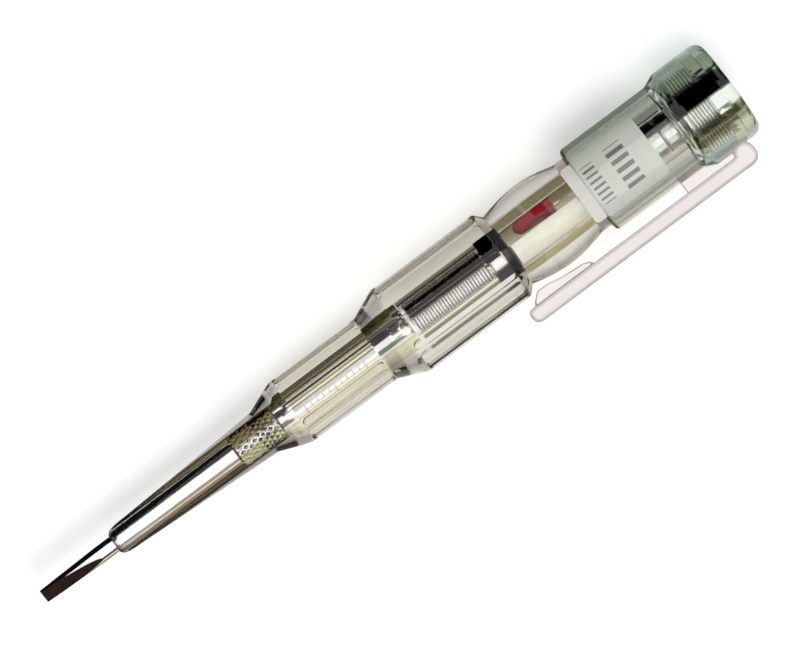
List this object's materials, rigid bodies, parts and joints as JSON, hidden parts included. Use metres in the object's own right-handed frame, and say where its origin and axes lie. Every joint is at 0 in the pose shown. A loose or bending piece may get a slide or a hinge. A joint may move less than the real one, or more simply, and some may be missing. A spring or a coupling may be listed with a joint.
{
  "type": "voltage tester screwdriver",
  "caption": "Slim slotted screwdriver with a clear octagonal handle that holds a spring, indicator lamp and button cells, closed by a screw cap with a pocket clip.",
  "frame": {"origin": "middle of the flat end of the screwdriver's blade, on the tool's axis", "axes": "+X along the tool's axis from the blade to the cap; +Z square to the uppermost flat of both octagonal grips; the pocket clip points to -Y, turned 10.5 degrees towards +Z"},
  "size_m": [0.14, 0.0219, 0.018],
  "materials": {
    "clear_plastic": "clear gloss",
    "tinted_clear_plastic": "clear gloss with a faint green tint",
    "chromed_steel": "bright plated",
    "spring_steel": "drawn, bright",
    "nickel_plate": "bright nickel",
    "brass_strip": "rolled",
    "tinned_wire": "tinned",
    "black_plastic": "matte",
    "white_plastic": "satin",
    "red_lens": "gloss",
    "resistor_enamel": "satin enamel",
    "seal_nylon": "matte",
    "label_paper": "uncoated"
  },
  "bodies": {
    "handle": {"handle": "clear_plastic", "blade": "chromed_steel", "contact_spring": "spring_steel", "label": "label_paper"},
    "cell_stack": {"front_contact": "nickel_plate", "insulating_washer": "black_plastic", "lamp_carrier": "white_plastic", "indicator_lamp": "red_lens", "lamp_lead_near": "tinned_wire", "lamp_lead_far": "tinned_wire", "base_wire": "tinned_wire", "emitter_wire": "tinned_wire", "resistor_tail": "tinned_wire", "transistor": "black_plastic", "resistor": "resistor_enamel", "cell_contact": "brass_strip", "front_cell_can": "spring_steel", "front_cell_seal": "seal_nylon", "front_cell_lid": "spring_steel", "rear_cell_can": "spring_steel", "rear_cell_seal": "seal_nylon", "rear_cell_lid": "spring_steel"},
    "cap": {"screw_cap": "tinted_clear_plastic", "contact_plug": "nickel_plate"},
    "clip": {"pocket_clip": "tinted_clear_plastic"}
  },
  "joints": [
    {"name": "cap_travel", "type": "slide", "parent": "handle", "child": "cell_stack", "axis": [1, 0, 0], "range_m": [0, 0.003], "deforming": ["contact_spring"]},
    {"name": "cap_turn", "type": "hinge", "parent": "cell_stack", "child": "cap", "pos_m": [0.12, 0, 0], "axis": [1, 0, 0], "range_deg": [0, 1440]},
    {"name": "clip_flex", "type": "hinge", "parent": "cap", "child": "clip", "pos_m": [0.12355, -0.01116, 0.00207], "axis": [0, 0.1822, 0.9833], "range_deg": [0, 5], "stiffness_Nm_per_rad": 0.05, "springref_deg": -2.86}
  ],
  "couplings": [
    {"joint": "cap_turn", "follows": "cap_travel", "rad_per_m": 8377.5}
  ]
}
